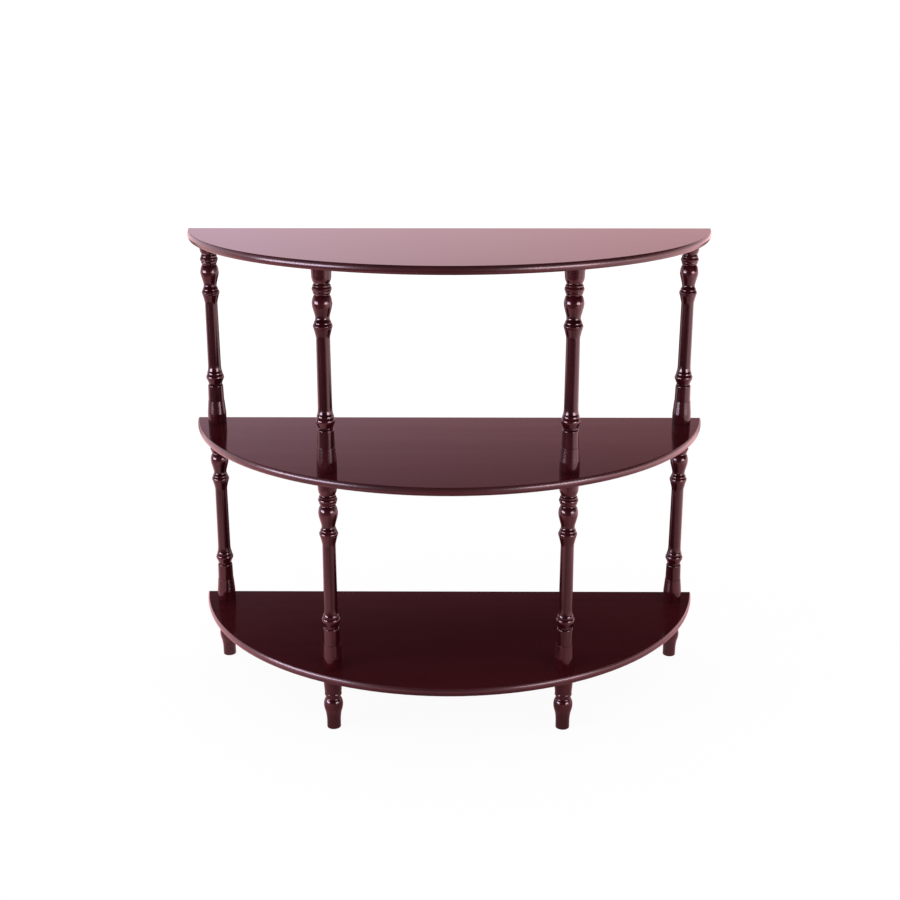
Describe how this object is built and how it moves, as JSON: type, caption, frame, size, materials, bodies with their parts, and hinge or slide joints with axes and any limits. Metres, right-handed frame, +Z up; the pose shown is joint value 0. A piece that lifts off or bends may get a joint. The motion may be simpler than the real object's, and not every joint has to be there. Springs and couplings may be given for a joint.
{
  "type": "half-moon console table",
  "caption": "Half-moon console table with a flat top and open shelves on turned posts, straight along its back edge so that it stands against a wall.",
  "frame": {"origin": "on the floor, under the middle of the table's width and depth", "axes": "+X to the right as seen from the front, +Y to the straight back edge, +Z up"},
  "size_m": [0.8, 0.3479, 0.7],
  "materials": {
    "lacquered_panel": "dark cherry stain under clear high-gloss lacquer, on flat boards",
    "lacquered_wood": "dark cherry stain under clear high-gloss lacquer, on turned wood",
    "steel": "zinc-plated thread",
    "brass": "plain turned brass"
  },
  "bodies": {
    "root": {"top_panel": "lacquered_panel", "middle_shelf": "lacquered_panel", "bottom_shelf": "lacquered_panel", "foot_back_left": "lacquered_wood", "lower_post_back_left": "lacquered_wood", "upper_post_back_left": "lacquered_wood", "bottom_stud_back_left": "steel", "middle_stud_back_left": "steel", "top_stud_back_left": "steel", "foot_insert_back_left": "brass", "lower_post_insert_back_left": "brass", "top_panel_insert_back_left": "brass", "foot_back_right": "lacquered_wood", "lower_post_back_right": "lacquered_wood", "upper_post_back_right": "lacquered_wood", "bottom_stud_back_right": "steel", "middle_stud_back_right": "steel", "top_stud_back_right": "steel", "foot_insert_back_right": "brass", "lower_post_insert_back_right": "brass", "top_panel_insert_back_right": "brass", "foot_front_left": "lacquered_wood", "lower_post_front_left": "lacquered_wood", "upper_post_front_left": "lacquered_wood", "bottom_stud_front_left": "steel", "middle_stud_front_left": "steel", "top_stud_front_left": "steel", "foot_insert_front_left": "brass", "lower_post_insert_front_left": "brass", "top_panel_insert_front_left": "brass", "foot_front_right": "lacquered_wood", "lower_post_front_right": "lacquered_wood", "upper_post_front_right": "lacquered_wood", "bottom_stud_front_right": "steel", "middle_stud_front_right": "steel", "top_stud_front_right": "steel", "foot_insert_front_right": "brass", "lower_post_insert_front_right": "brass", "top_panel_insert_front_right": "brass"}
  },
  "joints": []
}
